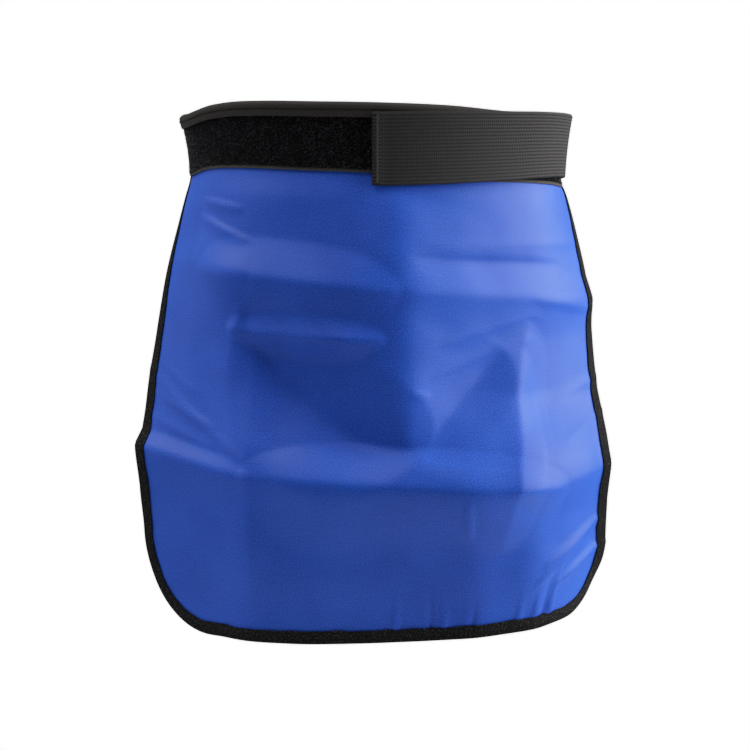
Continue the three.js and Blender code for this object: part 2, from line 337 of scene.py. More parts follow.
def pucker(across, down, row):
    """The height of one pucker, which is highest just above the tape on the hem and lies flat under it."""
    at, lean, reach, height = row
    up = PANEL_HEIGHT - FLAP - down
    share = np.clip(up / reach, 0, 1)
    away = np.abs(across - at - lean * share) / PUCKER_HALF_WIDTH
    crest = height * (1 - share) ** PUCKER_FADE * smoothstep(up, *PUCKER_FOOT)
    return crest * np.maximum(0, 1 - away**2) ** 2


RIDGES = CREASES + WRINKLES

# Slack of the cloth over the rubber: low waves in all directions, below the band
SLACK_HEIGHT = 0.16
SLACK_COUNT = 14
SLACK_LENGTHS = (26, 60)
SLACK_START = (TAPE_WIDTH, TAPE_WIDTH + 25)
SLACK_WAVES = [
    # heading, length, phase
    (rng.uniform(0, 2 * math.pi), rng.uniform(*SLACK_LENGTHS), rng.uniform(0, 2 * math.pi))
    for _ in range(SLACK_COUNT)
]


def slack(across, down):
    total = np.zeros_like(across)
    for heading, length, phase in SLACK_WAVES:
        way = across * math.cos(heading) + down * math.sin(heading)
        total = total + np.sin(2 * math.pi * way / length + phase)
    return SLACK_HEIGHT * total / math.sqrt(SLACK_COUNT) * smoothstep(down, *SLACK_START)


def flare_at(along, down):
    flare = lerp(LEFT_FLARE, RIGHT_FLARE, (1 + np.sin(waist_turn(along))) / 2)
    return flare * np.maximum(0, 1 - down / TAPE_WIDTH) ** FLARE_CURVE


def height_at(along, down):
    return BAND_TOP - down - np.sin(waist_turn(along)) * drop_at(down)


def band(along, down):
    """Places on the waist oval."""
    x, y, turn = walk(along, waist_turn)
    away = flare_at(along, down)
    return np.stack([x + np.sin(turn) * away, y - np.cos(turn) * away, height_at(along, down)], axis=1)


def sheet(across, down):
    """Places on the middle of the panel's wall."""
    left = left_at(down)[:, None]
    right = right_at(down)[:, None]
    lower = smoothstep(down, *BENDS_CHANGE)[:, None]

    def turn_at(at):
        unrolled = lerp(left, right, smoothstep(at, -MIDDLE_BLEND, MIDDLE_BLEND))
        upper_turn = bent(at, UPPER_START_TURN, UPPER_BENDS)
        lower_turn = bent(at, LOWER_START_TURN, LOWER_BENDS)
        hung = lerp(upper_turn, lower_turn, lower)
        return lerp(waist_turn(at), hung, unrolled)

    x, y, turn = walk(across, turn_at)
    away = flare_at(across, down) + slack(across, down)
    away = away + sum(ridge(across, down, row) for row in RIDGES)
    away = away + sum(pucker(across, down, row) for row in PUCKERS)
    front = y - out_at(down)
    lift = lift_at(across + LIFT_LEAN * down) * (1 - smoothstep(down, TAPE_WIDTH, LIFT_FADE))
    lift = lift + HEM_BOW * (across / HALF_PANEL) ** 2 * smoothstep(down, HEM_BOW_FROM, PANEL_HEIGHT)
    height = height_at(across, down) + lift
    return np.stack([x + np.sin(turn) * away, front - np.cos(turn) * away, height], axis=1)


def laid(surface, across, down, outwards):
    """Places at distances outwards from a surface."""
    rightwards = surface(across + NORMAL_REACH, down) - surface(across - NORMAL_REACH, down)
    downwards = surface(across, down + NORMAL_REACH) - surface(across, down - NORMAL_REACH)
    outward = np.cross(downwards, rightwards)
    outward /= np.linalg.norm(outward, axis=1, keepdims=True)
    return surface(across, down) + outward * outwards[:, None]


def only(piece):
    """Makes a piece the one that is selected and active."""
    bpy.ops.object.select_all(action="DESELECT")
    piece.select_set(True)
    bpy.context.view_layer.objects.active = piece


def places(piece):
    flat = np.empty(len(piece.data.vertices) * 3)
    piece.data.vertices.foreach_get("co", flat)
    return flat.reshape(-1, 3)


def put(piece, points):
    piece.data.vertices.foreach_set("co", points.ravel())
    piece.data.update()


def cut(name, low, high, grid):
    """A flat rectangle of cloth between two corners."""
    bpy.ops.object.select_all(action="DESELECT")
    middle = ((low[0] + high[0]) / 2, (low[1] + high[1]) / 2, 0)
    bpy.ops.mesh.primitive_grid_add(
        x_subdivisions=grid[0], y_subdivisions=grid[1], size=1, calc_uvs=False, location=middle
    )
    piece = bpy.context.object
    piece.name = name
    piece.data.name = name
    piece.scale = (high[0] - low[0], high[1] - low[1], 1)
    bpy.ops.object.transform_apply(location=True, rotation=False, scale=True)
    return piece


def mark_weave(piece, flat):
    """Keeps each corner's place on the flat cloth, in metres, for the weave of its material."""
    corners = np.empty(len(piece.data.loops), np.int32)
    piece.data.loops.foreach_get("vertex_index", corners)
    layer = piece.data.uv_layers.new(name="cut")
    layer.data.foreach_set("uv", (flat[corners, :2] * MM).ravel())


def hang(piece, surface):
    """Lays a flat piece on the worn form."""
    flat = places(piece)
    parts = np.array_split(flat, max(1, len(flat) // POINTS_AT_ONCE))
    worn = [laid(surface, part[:, 0], -part[:, 1], part[:, 2]) for part in parts]
    put(piece, np.concatenate(worn) * MM)


def thicken(piece, thickness, offset=0.0):
    only(piece)
    wall = piece.modifiers.new("wall", "SOLIDIFY")
    wall.thickness = thickness * MM
    wall.offset = offset
    wall.use_even_offset = True
    bpy.ops.object.modifier_apply(modifier=wall.name)


def round_edges(piece, width, angle):
    only(piece)
    bevel = piece.modifiers.new("rounding", "BEVEL")
    bevel.width = width * MM
    bevel.segments = ROUNDING_SEGMENTS
    bevel.limit_method = "ANGLE"
    bevel.angle_limit = math.radians(angle)
    bpy.ops.object.modifier_apply(modifier=bevel.name)


def smooth(piece, angle):
    only(piece)
    bpy.ops.object.shade_smooth_by_angle(angle=math.radians(angle))


def make_tape(piece, surface, thickness, rounding):
    """Hangs a flat tape, gives it its thickness and rounds its cut edges."""
    hang(piece, surface)
    thicken(piece, thickness)
    round_edges(piece, rounding, TAPE_ROUNDING_ANGLE)
    smooth(piece, CLOTH_SMOOTHING)
    return piece


def make_flat_tape(piece, surface, back, face, rounding):
    """Makes a tape that lies between two layers of the worn form."""
    flat = places(piece)
    flat[:, 2] = (back + face) / 2
    mark_weave(piece, flat)
    put(piece, flat)
    return make_tape(piece, surface, face - back, rounding)


def from_faces(name, points, faces):
    """A piece of a mesh given by its points and faces."""
    mesh = bpy.data.meshes.new(name)
    mesh.from_pydata(points, [], faces)
    piece = bpy.data.objects.new(name, mesh)
    bpy.context.scene.collection.objects.link(piece)
    return piece


def finish_piece(piece, material, slot, *nodes):
    """Gives a piece its finish and its place on the part."""
    piece.data.materials.clear()
    piece.data.materials.append(material)
    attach(piece, BODY)
    if nodes:
        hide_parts(*nodes)
    return piece


class Finish:
    """A procedural material, with short ways to add and join its nodes. Its lengths are in metres."""

    MIX_DARK = 6
    MIX_LIGHT = 7
    MIX_COLOR = 2

    def __init__(self, name, color, roughness, **sockets):
        self.material = bpy.data.materials.new(name)
        self.material.use_nodes = True
        self.tree = self.material.node_tree
        self.shader = self.tree.nodes["Principled BSDF"]
        self.feed(color, self.shader.inputs["Base Color"])
        self.feed(roughness, self.shader.inputs["Roughness"])
        for socket, value in sockets.items():
            self.feed(value, self.shader.inputs[socket.replace("_", " ")])

    def add(self, kind, **settings):
        node = self.tree.nodes.new(kind)
        for name, value in settings.items():
            setattr(node, name, value)
        return node

    def feed(self, value, socket):
        """Joins a node's output to a socket, or sets the socket to an opaque colour or a plain value."""
        if isinstance(value, bpy.types.NodeSocket):
            self.tree.links.new(value, socket)
        elif isinstance(value, tuple):
            socket.default_value = (*value, 1)
        else:
            socket.default_value = value

    def math(self, operation, *values):
        node = self.add("ShaderNodeMath", operation=operation)
        for value, socket in zip(values, node.inputs):
            self.feed(value, socket)
        return node.outputs[0]

    def times(self, a, b):
        return self.math("MULTIPLY", a, b)

    def distance(self, value):
        """How far a value is from 0."""
        return self.math("ABSOLUTE", value)

    def remainder(self, value):
        """What a value leaves of 1."""
        return self.math("SUBTRACT", 1.0, value)

    def slanted(self, along, aside, slope):
        """A place along the cloth that shifts with the place aside."""
        return self.math("MULTIPLY_ADD", aside, slope, along)

    def weighted(self, *parts):
        """The sum of values, each times its weight."""
        total = 0.0
        for value, weight in parts:
            total = self.math("MULTIPLY_ADD", value, weight, total)
        return total

    def sine(self, place, length):
        return self.math("SINE", self.times(place, 2 * math.pi / length))

    def cut_place(self):
        """The place on the flat cloth, and how far along and across it that is."""
        weave = self.add("ShaderNodeUVMap", uv_map="cut")
        split = self.add("ShaderNodeSeparateXYZ")
        self.feed(weave.outputs["UV"], split.inputs[0])
        return weave.outputs["UV"], split.outputs["X"], split.outputs["Y"]

    def object_place(self):
        return self.add("ShaderNodeTexCoord").outputs["Object"]

    def rib(self, place, pitch, sharpness):
        """Round ribs a pitch apart, from 0 in the gap to 1 on the crest."""
        return self.math("POWER", self.distance(self.sine(place, 2 * pitch)), sharpness)

    def stretched(self, place, x, y):
        """A place on the cloth scaled each way, so that a noise there is drawn out."""
        node = self.add("ShaderNodeMapping")
        self.feed(place, node.inputs["Vector"])
        node.inputs["Scale"].default_value = (x, y, 1)
        return node.outputs["Vector"]

    def noise(self, place, grain, detail):
        """Cloudy noise of a grain, about 0.5."""
        node = self.add("ShaderNodeTexNoise")
        self.feed(place, node.inputs["Vector"])
        node.inputs["Scale"].default_value = 1 / grain
        node.inputs["Detail"].default_value = detail
        return node.outputs["Fac"]

    def spread(self, value, source, target):
        """A value spread from one range to another, and held at its ends."""
        node = self.add("ShaderNodeMapRange")
        self.feed(value, node.inputs["Value"])
        node.inputs["From Min"].default_value = source[0]
        node.inputs["From Max"].default_value = source[1]
        node.inputs["To Min"].default_value = target[0]
        node.inputs["To Max"].default_value = target[1]
        return node.outputs["Result"]

    def tint(self, share, dark, light):
        """A colour between two by a share."""
        node = self.add("ShaderNodeMix", data_type="RGBA")
        self.feed(share, node.inputs["Factor"])
        self.feed(dark, node.inputs[self.MIX_DARK])
        self.feed(light, node.inputs[self.MIX_LIGHT])
        return node.outputs[self.MIX_COLOR]

    def color(self, value):
        self.feed(value, self.shader.inputs["Base Color"])

    def roughness(self, value):
        self.feed(value, self.shader.inputs["Roughness"])

    def bump(self, height, depth, strength, under=None):
        """Relief of a depth, on top of an earlier one."""
        node = self.add("ShaderNodeBump")
        self.feed(height, node.inputs["Height"])
        node.inputs["Distance"].default_value = depth
        node.inputs["Strength"].default_value = strength
        if under is not None:
            self.feed(under, node.inputs["Normal"])
        self.feed(node.outputs["Normal"], self.shader.inputs["Normal"])
        return node.outputs["Normal"]


NYLON_THREAD = 0.6 * MM


def blue_nylon():
    """Coated plain weave with a fine grain, streaks along the weft and faint clouds."""
    finish = Finish("blue_nylon", color=(0.019, 0.074, 0.48), roughness=0.5, Specular_IOR_Level=0.18)
    place, across, up = finish.cut_place()
    weave = finish.times(finish.sine(across, NYLON_THREAD), finish.sine(up, NYLON_THREAD))
    grain = finish.noise(finish.stretched(place, x=0.9, y=1.1), grain=0.0009, detail=1)
    streaks = finish.noise(finish.stretched(place, x=0.08, y=1), grain=0.0012, detail=2)
    clouds = finish.noise(place, grain=0.05, detail=2)
    shade = finish.weighted((grain, 0.68), (streaks, 0.12), (clouds, 0.2))
    share = finish.spread(shade, (0.35, 0.65), (0, 1))
    finish.color(finish.tint(share, dark=(0.0098, 0.048, 0.36), light=(0.0225, 0.098, 0.61)))
    finish.roughness(finish.spread(grain, (0.3, 0.7), (0.46, 0.54)))
    under = finish.bump(weave, depth=0.00002, strength=0.6)
    finish.bump(grain, depth=0.00012, strength=0.5, under=under)
    return finish.material


FLAP_MIDDLE = 5.5 * MM
FLAP_SLANT = 0.9
# How dark the painted shade makes a tape near its fold
FOLD_SHADE = 0.7


def binding_tape(name, dark, light, herringbone, least):
    """Folded tape, with painted shade darkening it near its fold: its weave runs in slanted ribs that meet
    along the middle of each flap, under fibres that leave at least a share of their light."""
    finish = Finish(name, color=dark, roughness=0.8, Specular_IOR_Level=0.03)
    place, along, round_fold = finish.cut_place()
    from_fold = finish.distance(round_fold)
    from_middle = finish.distance(finish.math("SUBTRACT", from_fold, FLAP_MIDDLE))
    ribs = finish.rib(finish.slanted(along, from_middle, FLAP_SLANT), pitch=herringbone, sharpness=0.7)
    fibres = finish.noise(place, grain=0.0013, detail=3)
    shade = finish.times(ribs, finish.spread(fibres, (0.5, 0.76), (least, 1)))
    # Painted shade: the tape's colour is darker within a few millimetres of its fold
    painted_fold_shade = finish.spread(from_fold, (0.0038, 0.005), (FOLD_SHADE, 1))
    finish.color(finish.tint(finish.times(shade, painted_fold_shade), dark, light))
    under = finish.bump(ribs, depth=0.0003, strength=0.8)
    finish.bump(fibres, depth=0.0003, strength=0.5, under=under)
    return finish.material


LOOP_BLACK = (0.0015, 0.0015, 0.0025)
SELVAGE_BLEND = (-42.8 * MM, -43.3 * MM)


def loop_base():
    """The loop tape's woven ground, with a greyer selvage along its lower edge."""
    finish = Finish("loop_ground", color=LOOP_BLACK, roughness=0.9, Specular_IOR_Level=0.1)
    place, along, up = finish.cut_place()
    selvage = finish.spread(up, SELVAGE_BLEND, (0, 1))
    ribs = finish.rib(along, pitch=0.0011, sharpness=0.8)
    threads = finish.times(ribs, finish.noise(place, grain=0.0006, detail=2))
    grey = finish.tint(threads, dark=(0.03, 0.028, 0.026), light=(0.11, 0.102, 0.096))
    finish.color(finish.tint(selvage, LOOP_BLACK, grey))
    finish.bump(threads, depth=0.0004, strength=0.8)
    return finish.material


def loop_pile():
    """Fuzz of loops, each a little lighter or darker than the next."""
    finish = Finish("loop_pile", color=(0.01, 0.01, 0.014), roughness=0.7, Specular_IOR_Level=0.2)
    tone = finish.add("ShaderNodeAttribute", attribute_name="tone").outputs["Fac"]
    finish.color(finish.tint(tone, dark=(0.0012, 0.0012, 0.0022), light=(0.085, 0.085, 0.1)))
    return finish.material


STRAP_RIBS = 20
RIB_PITCH = 2.1
NOTCH_PITCH = 1.45 * MM
NOTCH_SLANT = 0.35


def webbing():
    """Ribs along the strap with slanted notches; painted shade darkest where a notch meets the gap between
    two ribs.
    """
    finish = Finish("webbing", color=(0.024, 0.023, 0.026), roughness=0.75, Specular_IOR_Level=0.15)
    place, along, across = finish.cut_place()
    pitch = RIB_PITCH * MM
    from_gap = finish.math("WRAP", across, pitch / 2, -pitch / 2)
    slanted = finish.slanted(along, from_gap, NOTCH_SLANT)
    gaps = finish.remainder(finish.rib(across, pitch=pitch, sharpness=1.2))
    notches = finish.remainder(finish.rib(slanted, pitch=NOTCH_PITCH, sharpness=1.2))
    # Painted shade in the weave's hollows: the gaps between ribs and the notches, darkest where they meet
    painted_pit_shade = finish.weighted((gaps, 0.3), (notches, 0.12), (finish.times(gaps, notches), 1.1))
    cells = finish.remainder(painted_pit_shade)
    fibres = finish.noise(place, grain=0.0008, detail=3)
    shade = finish.times(cells, finish.spread(fibres, (0.3, 0.7), (0.55, 1)))
    finish.color(finish.tint(shade, dark=(0.002, 0.002, 0.0023), light=(0.034, 0.0325, 0.0355)))
    under = finish.bump(cells, depth=0.0004, strength=0.8)
    finish.bump(fibres, depth=0.0002, strength=0.5, under=under)
    return finish.material


def hook_tape():
    finish = Finish("hook_tape", color=(0.008, 0.008, 0.009), roughness=0.6, Specular_IOR_Level=0.4)
    _, along, across = finish.cut_place()
    rows = finish.rib(along, pitch=0.0016, sharpness=1.2)
    hooks = finish.times(rows, finish.rib(across, pitch=0.0013, sharpness=1.2))
    finish.color(finish.tint(hooks, dark=(0.004, 0.004, 0.005), light=(0.02, 0.02, 0.022)))
    finish.bump(hooks, depth=0.0006, strength=1.0)
    return finish.material


def sewing_thread(name, dark, light):
    """Twisted thread, with the fine unevenness of its plies."""
    finish = Finish(name, color=dark, roughness=0.7, Specular_IOR_Level=0.2)
    plies = finish.noise(finish.object_place(), grain=0.0004, detail=2)
    finish.color(finish.tint(plies, dark, light))
    finish.bump(plies, depth=0.0001, strength=0.6)
    return finish.material


def cut_edge(side, down):
    """How far across the panel's cut edge lies at a distance down."""
    radius = LEFT_CORNER if side < 0 else RIGHT_CORNER
    fall = np.clip((down - PANEL_HEIGHT + radius) / radius, 0, 1)
    return side * (HALF_PANEL - radius + radius * np.sqrt(1 - fall * fall))


def panel_cloth():
    """The blue sheet: cut, rounded at its lower corners, hung and given its thickness."""
    piece = cut("panel_cloth", (-HALF_PANEL, -PANEL_HEIGHT), (HALF_PANEL, 0), PANEL_GRID)
    flat = places(piece)
    down = -flat[:, 1]
    share = (flat[:, 0] + HALF_PANEL) / PANEL_WIDTH
    flat[:, 0] = lerp(cut_edge(-1, down), cut_edge(1, down), share)
    put(piece, flat)
    mark_weave(piece, flat)
    hang(piece, sheet)
    thicken(piece, PANEL_THICKNESS)
    smooth(piece, CLOTH_SMOOTHING)
    return piece


LEFT_SIDE = PANEL_HEIGHT - LEFT_CORNER
LEFT_ARC = LEFT_CORNER * math.pi / 2
HEM = PANEL_WIDTH - LEFT_CORNER - RIGHT_CORNER
RIGHT_ARC = RIGHT_CORNER * math.pi / 2
RIGHT_SIDE = PANEL_HEIGHT - RIGHT_CORNER
EDGE_LENGTH = LEFT_SIDE + LEFT_ARC + HEM + RIGHT_ARC + RIGHT_SIDE


def inside_edge(along, inwards, outwards):
    """Flat places inwards from the panel's cut edge, at distances along it: down its -X side, along the hem
    and up its +X side."""
    past_left = along - LEFT_SIDE
    past_hem = past_left - LEFT_ARC - HEM
    left_turn = np.clip(past_left, 0, LEFT_ARC) / LEFT_CORNER
    on_hem = np.clip(past_left - LEFT_ARC, 0, HEM)
    right_turn = np.clip(past_hem, 0, RIGHT_ARC) / RIGHT_CORNER
    up_right = np.maximum(0, past_hem - RIGHT_ARC)
    heading = left_turn + right_turn
    left_corner = LEFT_CORNER * (1 - np.cos(left_turn))
    across = -HALF_PANEL + left_corner + on_hem + RIGHT_CORNER * np.sin(right_turn)
    down = np.minimum(along, LEFT_SIDE) + LEFT_CORNER * np.sin(left_turn)
    down = down - RIGHT_CORNER * (1 - np.cos(right_turn)) - up_right
    x = across + inwards * np.cos(heading)
    y = inwards * np.sin(heading) - down
    return np.stack([x, y, outwards], axis=1)


TAPE_THICKNESS = 0.8
TAPE_ROUNDING = 0.25
TAPE_START = 1.5
FOLD_DEPTH = 1.0
FOLD_NOSE = 2.1
TOP_FOLD_DEPTH = 1.5
TOP_FOLD_NOSE = 2.6

# How far in a flap starts to be pressed down, and how far outwards its front and back edges then lie
EDGE_PRESS = (3.0, 1.75, -1.75)
TOP_PRESS = (4.5, 3.8, -3.3)

# The uneven line that a hand-fed tape is sewn along
UNEVEN_LENGTHS = (17, 29, 43, 71, 118)
UNEVEN_SEED = 3
UNEVEN_SHARE = 0.09


def folded(share, front, back, depth, nose):
    """A tape's section folded round an edge, by share from its back flap to its front flap:
    how far in from the edge, how far outwards, and how far round from the fold."""
    middle = (front + back) / 2
    half = (front - back) / 2
    flat_part = FLAP - depth
    arc = math.pi / 2 * (half + nose) / 2
    way = (2 * share - 1) * (flat_part + arc)
    turn = np.clip(way / arc, -1, 1) * math.pi / 2
    past = np.maximum(0, np.abs(way) - arc)
    inwards = depth - nose * np.cos(turn) + past
    outwards = middle + half * np.sin(turn)
    return inwards, outwards, way


def uneven(along):
    waves = np.random.default_rng(UNEVEN_SEED)
    total = np.zeros_like(along)
    for length in UNEVEN_LENGTHS:
        total = total + np.sin(2 * math.pi * along / length + waves.uniform(0, 2 * math.pi))
    return total / len(UNEVEN_LENGTHS)


def pressed(inwards, outwards, press):
    """Presses the flaps down on the cloth towards their edges."""
    start, front, back = press
    target = np.where(outwards > 0, front, back)
    return lerp(outwards, target, smoothstep(inwards, start, FLAP))


def edge_tape():
    """The tape folded round the sides and the hem, with an uneven inner edge pressed on the cloth."""
    piece = cut("edge_tape", (0, 0), (1, 1), EDGE_TAPE_GRID)
    share = places(piece)
    along = lerp(TAPE_START, EDGE_LENGTH - TAPE_START, share[:, 0])
    inwards, outwards, way = folded(
        share[:, 1], EDGE_FLAP_MIDDLE, -EDGE_FLAP_MIDDLE, FOLD_DEPTH, FOLD_NOSE
    )
    mark_weave(piece, np.stack([along, way], axis=1))
    outwards = pressed(inwards, outwards, EDGE_PRESS)
    inwards = inwards * (1 + UNEVEN_SHARE * uneven(along) * (inwards > 0))
    put(piece, inside_edge(along, inwards, outwards))
    return make_tape(piece, sheet, TAPE_THICKNESS, TAPE_ROUNDING)


def top_tape():
    """The tape folded over the panel's top edge and the loop tape."""
    half = HALF_PANEL + GAP + TAPE_THICKNESS
    piece = cut("top_tape", (0, 0), (1, 1), TOP_TAPE_GRID)
    share = places(piece)
    along = lerp(-half, half, share[:, 0])
    inwards, outwards, way = folded(
        1 - share[:, 1], TOP_FLAP_MIDDLE, TOP_BACK_FLAP_MIDDLE, TOP_FOLD_DEPTH, TOP_FOLD_NOSE
    )
    mark_weave(piece, np.stack([along, way], axis=1))
    outwards = pressed(inwards, outwards, TOP_PRESS)
    put(piece, np.stack([along, -inwards, outwards], axis=1))
    return make_tape(piece, sheet, TAPE_THICKNESS, TAPE_ROUNDING)


LOOP_GROUND = 0.9
LOOP_GROUND_FACE = LOOP_BACK + LOOP_GROUND
SELVAGE = 1.9
LOOP_HALF = HALF_PANEL - FLAP - GAP


def loop_ground():
    """The loop tape's woven ground, under the pile."""
    piece = cut("loop_ground", (-LOOP_HALF, -TAPE_WIDTH), (LOOP_HALF, -TAPE_START), LOOP_GRID)
    return make_flat_tape(piece, sheet, LOOP_BACK, LOOP_GROUND_FACE, TAPE_ROUNDING)


HOOK_START = STRAP_FREE_END + 7
HOOK_LENGTH = 110.0
HOOK_TOP = 10.0
HOOK_WIDTH = 24.0
HOOK_ROUNDING = 0.3


def hook_strip():
    """The hook tape under the strap's free end."""
    low = (HOOK_START, -HOOK_TOP - HOOK_WIDTH)
    high = (HOOK_START + HOOK_LENGTH, -HOOK_TOP)
    piece = cut("hook_strip", low, high, HOOK_GRID)
    return make_flat_tape(piece, band, HOOK_BACK, HOOK_FACE, HOOK_ROUNDING)


FIBRE_TURNS = (math.radians(90), math.radians(210), math.radians(330))
FIBRE_SIDES = len(FIBRE_TURNS)


def tubes(name, lines, radius):
    """Thin three-sided fibres along short lines of points, as one mesh."""
    steps = lines.shape[1]
    run = np.gradient(lines, axis=1)
    run /= np.linalg.norm(run, axis=2, keepdims=True)
    aside = np.cross(run, OUTWARDS)
    aside /= np.maximum(1e-6, np.linalg.norm(aside, axis=2, keepdims=True))
    above = np.cross(aside, run)
    corners = [
        lines + radius * (math.cos(turn) * aside + math.sin(turn) * above) for turn in FIBRE_TURNS
    ]
    points = np.stack(corners, axis=2).reshape(-1, 3)
    faces = []
    for first in range(0, len(points), steps * FIBRE_SIDES):
        last = first + (steps - 1) * FIBRE_SIDES
        for ring in range(first, last, FIBRE_SIDES):
            after = ring + FIBRE_SIDES
            for side in range(FIBRE_SIDES):
                beside = (side + 1) % FIBRE_SIDES
                faces.append((ring + side, ring + beside, after + beside, after + side))
        faces.append((first + 2, first + 1, first))
        faces.append((last, last + 1, last + 2))
    return from_faces(name, points, faces)


PILE_COUNT = 8500
PILE_DRAWN = 3 * PILE_COUNT
PILE_HALF = LOOP_HALF - 1
PILE_DOWN = (FLAP + 0.3, TAPE_WIDTH - SELVAGE)
PILE_CLEAR = (STRAP_FREE_END, HOOK_START + HOOK_LENGTH + 2)
PILE_HEIGHT = (0.45, 0.95)
PILE_SPAN = (0.9, 1.9)
PILE_LEAN = (-0.5, 0.5)
PILE_FIBRE = 0.1
PILE_ROOT = LOOP_GROUND_FACE - 0.1
PILE_TONE_POWER = 3
PILE_ARCH = np.array([
    # share of the span, share of the height
    (-0.5, 0),
    (-0.32, 0.8),
    (0.32, 1),
    (0.5, 0),
])


def pile():
    """The loop tape's pile: small arched fibres every way, left out under the hook tape that presses
    it flat."""
    across = rng.uniform(-PILE_HALF, PILE_HALF, PILE_DRAWN)
    down = rng.uniform(*PILE_DOWN, PILE_DRAWN)
    seen = (across <= PILE_CLEAR[0]) | (across >= PILE_CLEAR[1])
    across = across[seen][:PILE_COUNT, None]
    down = down[seen][:PILE_COUNT, None]
    count = len(across)
    heading = rng.uniform(0, math.pi, count)[:, None]
    span = rng.uniform(*PILE_SPAN, count)[:, None]
    height = rng.uniform(*PILE_HEIGHT, count)[:, None]
    lean = rng.uniform(*PILE_LEAN, count)[:, None]
    along = span * PILE_ARCH[:, 0]
    aside = lean * span * PILE_ARCH[:, 1]
    x = across + np.cos(heading) * along - np.sin(heading) * aside
    y = np.sin(heading) * along + np.cos(heading) * aside - down
    z = PILE_ROOT + height * PILE_ARCH[:, 1]
    piece = tubes("loop_fuzz", np.stack([x, y, z], axis=2), PILE_FIBRE)
    tones = rng.uniform(0, 1, count) ** PILE_TONE_POWER
    tone = piece.data.attributes.new("tone", "FLOAT", "POINT")
    tone.data.foreach_set("value", np.repeat(tones, len(PILE_ARCH) * FIBRE_SIDES).astype(np.float32))
    hang(piece, sheet)
    smooth(piece, THREAD_SMOOTHING)
    return piece


RIB_HEIGHT = 0.1
RIB_SHARPNESS = 0.7
RIB_ROWS = 4
STRAP_GRID = (290, STRAP_RIBS * RIB_ROWS)
STRAP_EDGE_SHARE = 0.014
STRAP_EDGE_FALL = 0.35
STRAP_WALL = STRAP_THICKNESS - 0.1
STRAP_ROUNDING = 0.3
STRAP_ROUNDING_ANGLE = 65
HEM_THICKENING = 0.7
HEM_STEP = (STRAP_FREE_END + 6.2, STRAP_FREE_END + 7.4)
HEM_NOSE = (STRAP_FREE_END - 0.01, STRAP_FREE_END + 1.6)
HEM_NOSE_SHARE = 0.3


def strap_layer(along):
    """The strap's inner face leaves the panel's front at +X and comes in behind its -X side."""
    clear = HALF_PANEL + STRAP_EDGE_CLEARANCE
    return lerp(STRAP_OVER_HOOK, STRAP_BEHIND_PANEL, smoothstep(along, clear, WAIST_LENGTH - clear))


def strap_face(along):
    """The strap's outer face, thicker over the hem at its free end."""
    hem = 1 - smoothstep(along, *HEM_STEP)
    full = lerp(HEM_NOSE_SHARE, 1, smoothstep(along, *HEM_NOSE))
    return strap_layer(along) + STRAP_THICKNESS + HEM_THICKENING * hem * full


def strap_down(along, share):
    """How far down the strap lies, by share of its width from its lower edge."""
    return course_at(along) + width_at(along) * (0.5 - share)


def strap_web():
    """The webbing strap: a ribbed outer face over an inner one that follows it, joined round its edge."""
    piece = cut("strap_web", (0, 0), (1, 1), STRAP_GRID)
    share = places(piece)
    along = lerp(STRAP_FREE_END, STRAP_SEWN_END, share[:, 0])
    upwards = share[:, 1]
    mark_weave(piece, np.stack([along, upwards * STRAP_RIBS * RIB_PITCH], axis=1))
    gaps = 1 - np.abs(np.sin(math.pi * upwards * STRAP_RIBS)) ** RIB_SHARPNESS
    edge = 1 - smoothstep(np.minimum(upwards, 1 - upwards), 0, STRAP_EDGE_SHARE)
    out = strap_face(along) - RIB_HEIGHT * gaps - STRAP_EDGE_FALL * edge
    put(piece, np.stack([along, -strap_down(along, upwards), out], axis=1))
    hang(piece, band)
    thicken(piece, STRAP_WALL, -1.0)
    round_edges(piece, STRAP_ROUNDING, STRAP_ROUNDING_ANGLE)
    smooth(piece, WEBBING_SMOOTHING)
    return piece


def stitch_shape():
    """One stitch of thread, a unit long: modelled once and copied."""
    bpy.ops.object.select_all(action="DESELECT")
    bpy.ops.mesh.primitive_uv_sphere_add(segments=6, ring_count=5, radius=0.5, calc_uvs=False)
    shape = bpy.context.object
    bpy.ops.object.mode_set(mode="EDIT")
    bpy.ops.mesh.select_all(action="SELECT")
    bpy.ops.transform.rotate(value=math.radians(90), orient_axis="Y", center_override=(0, 0, 0))
    bpy.ops.object.mode_set(mode="OBJECT")
    points = places(shape)
    faces = [tuple(face.vertices) for face in shape.data.polygons]
    mesh = shape.data
    bpy.data.objects.remove(shape)
    bpy.data.meshes.remove(mesh)
    return points, faces


STITCH_POINTS, STITCH_FACES = stitch_shape()


def sewn(name, starts, ends, thickness, surface):
    """A row of stitches between flat places, as one mesh laid on the worn form."""
    run = ends - starts
    length = np.linalg.norm(run, axis=1, keepdims=True)
    run = run / length
    aside = np.cross(OUTWARDS, run)
    aside /= np.linalg.norm(aside, axis=1, keepdims=True)
    above = np.cross(run, aside)
    middle = (starts + ends) / 2
    points = (
        middle[:, None]
        + run[:, None] * (STITCH_POINTS[None, :, :1] * length[:, None])
        + aside[:, None] * STITCH_POINTS[None, :, 1:2] * thickness
        + above[:, None] * STITCH_POINTS[None, :, 2:] * thickness
    ).reshape(-1, 3)
    size = len(STITCH_POINTS)
    faces = [tuple(i + n * size for i in face) for n in range(len(starts)) for face in STITCH_FACES]
    piece = from_faces(name, points, faces)
    hang(piece, surface)
    smooth(piece, THREAD_SMOOTHING)
    return piece


ZIGZAG_UNEVENNESS = (0.85, 1.1)
THREAD_PROUD = 0.05


def zigzag(along_from, along_to, pitch, half, middle):
    """Corner places of a zigzag row: along it, and to either side of its middle."""
    count = 2 * int((along_to - along_from) / pitch)
    along = np.linspace(along_from, along_to, count + 1)
    side = np.where(np.arange(count + 1) % 2, 1, -1)
    aside = middle + half * side * rng.uniform(*ZIGZAG_UNEVENNESS, count + 1)
    return along, aside


